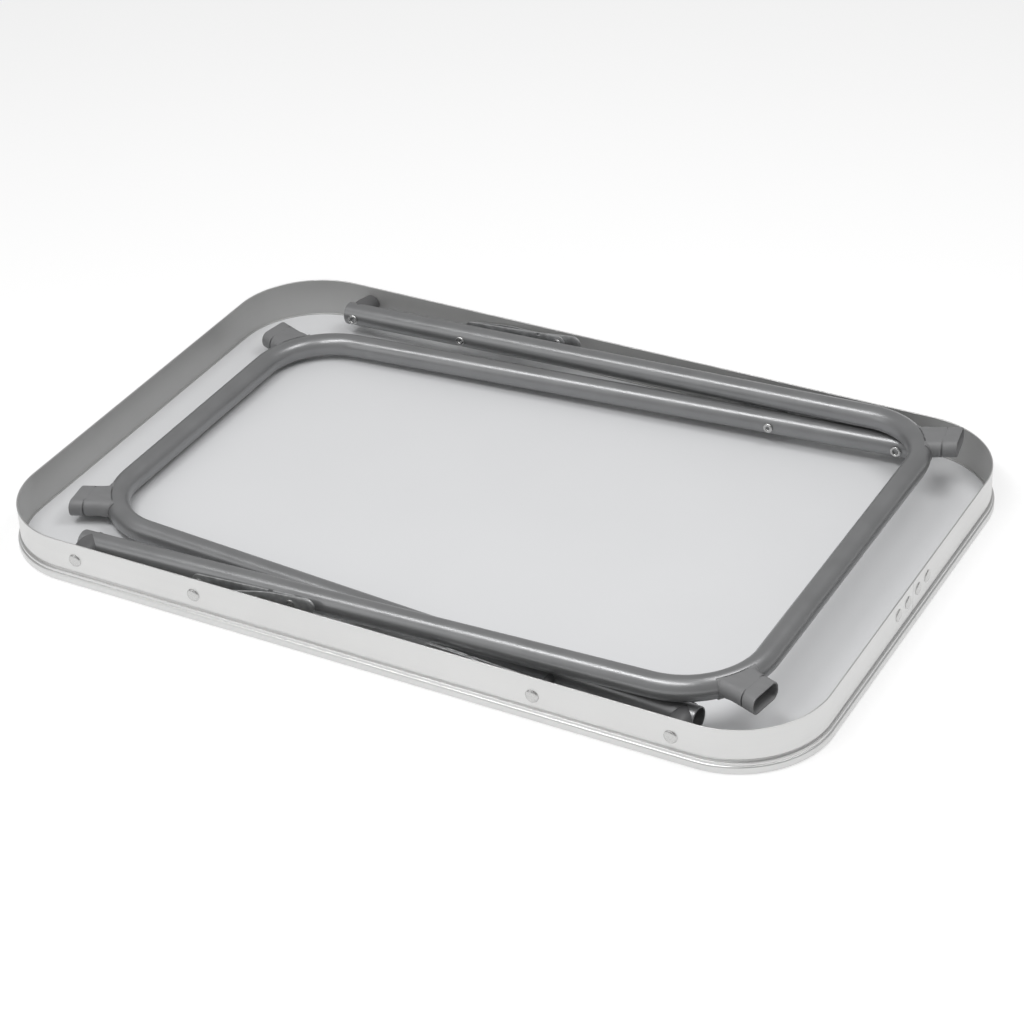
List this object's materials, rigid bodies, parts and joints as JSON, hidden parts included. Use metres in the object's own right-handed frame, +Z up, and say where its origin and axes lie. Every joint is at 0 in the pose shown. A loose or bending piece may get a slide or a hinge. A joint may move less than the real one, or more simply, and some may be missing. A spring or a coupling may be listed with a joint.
{
  "type": "folding table",
  "caption": "Rectangular folding table with a rounded metal rim, two U-shaped tube leg frames that fold into the rim, and hinged stays; shown folded, underside up.",
  "frame": {"origin": "on the ground plane, under the middle of the table top, which lies face down", "axes": "+X along the long side towards the inner frame's hinge, +Y across to the back long side, +Z up, from the top face towards the folded legs"},
  "size_m": [0.9, 0.588, 0.068],
  "materials": {
    "board_core": "light grey composite board, matt",
    "laminate": "light grey laminate, fine matt",
    "rim_aluminium": "satin anodised extrusion",
    "leg_paint": "mid grey satin enamel",
    "foot_plastic": "mid grey moulded plastic",
    "spacer_plastic": "dark grey moulded plastic",
    "link_steel": "zinc plated strip, slightly dull",
    "rivet_steel": "bright plated rivet"
  },
  "bodies": {
    "table_top": {"top_board": "board_core", "top_laminate": "laminate", "rim_frame": "rim_aluminium", "rim_splice_plate": "link_steel", "rim_splice_rivets": "rivet_steel", "hinge_rivets": "rivet_steel", "rim_stay_rivets": "rivet_steel", "rim_stay_spacers": "spacer_plastic"},
    "outer_leg_frame": {"outer_leg_tube": "leg_paint", "outer_leg_back_foot": "foot_plastic", "outer_leg_back_boot": "foot_plastic", "outer_leg_front_foot": "foot_plastic", "outer_leg_front_boot": "foot_plastic", "outer_leg_hinge_spacers": "spacer_plastic", "outer_leg_stay_spacers": "spacer_plastic", "outer_leg_stay_rivets": "rivet_steel"},
    "outer_front_rim_stay": {"outer_front_rim_link": "link_steel", "outer_front_rim_link_rivet": "rivet_steel"},
    "outer_front_leg_stay": {"outer_front_leg_link": "link_steel", "outer_front_leg_link_rivet": "rivet_steel"},
    "outer_back_rim_stay": {"outer_back_rim_link": "link_steel", "outer_back_rim_link_rivet": "rivet_steel"},
    "outer_back_leg_stay": {"outer_back_leg_link": "link_steel", "outer_back_leg_link_rivet": "rivet_steel"},
    "inner_leg_frame": {"inner_leg_tube": "leg_paint", "inner_leg_back_foot": "foot_plastic", "inner_leg_back_boot": "foot_plastic", "inner_leg_front_foot": "foot_plastic", "inner_leg_front_boot": "foot_plastic", "inner_leg_hinge_spacers": "spacer_plastic", "inner_leg_stay_spacers": "spacer_plastic", "inner_leg_stay_rivets": "rivet_steel"},
    "inner_front_rim_stay": {"inner_front_rim_link": "link_steel", "inner_front_rim_link_rivet": "rivet_steel"},
    "inner_front_leg_stay": {"inner_front_leg_link": "link_steel", "inner_front_leg_link_rivet": "rivet_steel"},
    "inner_back_rim_stay": {"inner_back_rim_link": "link_steel", "inner_back_rim_link_rivet": "rivet_steel"},
    "inner_back_leg_stay": {"inner_back_leg_link": "link_steel", "inner_back_leg_link_rivet": "rivet_steel"}
  },
  "joints": [
    {"name": "outer_leg_hinge", "type": "hinge", "parent": "table_top", "child": "outer_leg_frame", "pos_m": [-0.33, 0, 0.0288], "axis": [0, -1, 0], "range_deg": [0, 97]},
    {"name": "inner_leg_hinge", "type": "hinge", "parent": "table_top", "child": "inner_leg_frame", "pos_m": [0.33, 0, 0.0266], "axis": [0, 1, 0], "range_deg": [0, 89]},
    {"name": "outer_front_rim_stay_pivot", "type": "hinge", "parent": "table_top", "child": "outer_front_rim_stay", "pos_m": [-0.188, -0.2852, 0.0288], "axis": [0, -1, 0], "range_deg": [0, 132.91]},
    {"name": "outer_front_leg_stay_pivot", "type": "hinge", "parent": "outer_leg_frame", "child": "outer_front_leg_stay", "pos_m": [-0.1901, -0.2747, 0.034], "axis": [0, -1, 0], "range_deg": [-141.22, 0]},
    {"name": "outer_back_rim_stay_pivot", "type": "hinge", "parent": "table_top", "child": "outer_back_rim_stay", "pos_m": [-0.188, 0.2852, 0.0288], "axis": [0, -1, 0], "range_deg": [0, 132.91]},
    {"name": "outer_back_leg_stay_pivot", "type": "hinge", "parent": "outer_leg_frame", "child": "outer_back_leg_stay", "pos_m": [-0.1901, 0.2747, 0.034], "axis": [0, -1, 0], "range_deg": [-141.22, 0]},
    {"name": "inner_front_rim_stay_pivot", "type": "hinge", "parent": "table_top", "child": "inner_front_rim_stay", "pos_m": [0.188, -0.2852, 0.0266], "axis": [0, 1, 0], "range_deg": [0, 131.64]},
    {"name": "inner_front_leg_stay_pivot", "type": "hinge", "parent": "inner_leg_frame", "child": "inner_front_leg_stay", "pos_m": [0.19001, -0.2747, 0.02523], "axis": [0, 1, 0], "range_deg": [-138.09, 0]},
    {"name": "inner_back_rim_stay_pivot", "type": "hinge", "parent": "table_top", "child": "inner_back_rim_stay", "pos_m": [0.188, 0.2852, 0.0266], "axis": [0, 1, 0], "range_deg": [0, 131.64]},
    {"name": "inner_back_leg_stay_pivot", "type": "hinge", "parent": "inner_leg_frame", "child": "inner_back_leg_stay", "pos_m": [0.19001, 0.2747, 0.02523], "axis": [0, 1, 0], "range_deg": [-138.09, 0]}
  ],
  "couplings": [
    {"joint": "inner_leg_hinge", "follows": "outer_leg_hinge", "ratio": 0.91753},
    {"joint": "outer_front_rim_stay_pivot", "follows": "outer_leg_hinge", "ratio": 1.3702},
    {"joint": "outer_front_leg_stay_pivot", "follows": "outer_leg_hinge", "ratio": -1.4559},
    {"joint": "outer_back_rim_stay_pivot", "follows": "outer_leg_hinge", "ratio": 1.3702},
    {"joint": "outer_back_leg_stay_pivot", "follows": "outer_leg_hinge", "ratio": -1.4559},
    {"joint": "inner_front_rim_stay_pivot", "follows": "outer_leg_hinge", "ratio": 1.3571},
    {"joint": "inner_front_leg_stay_pivot", "follows": "outer_leg_hinge", "ratio": -1.4236},
    {"joint": "inner_back_rim_stay_pivot", "follows": "outer_leg_hinge", "ratio": 1.3571},
    {"joint": "inner_back_leg_stay_pivot", "follows": "outer_leg_hinge", "ratio": -1.4236}
  ]
}
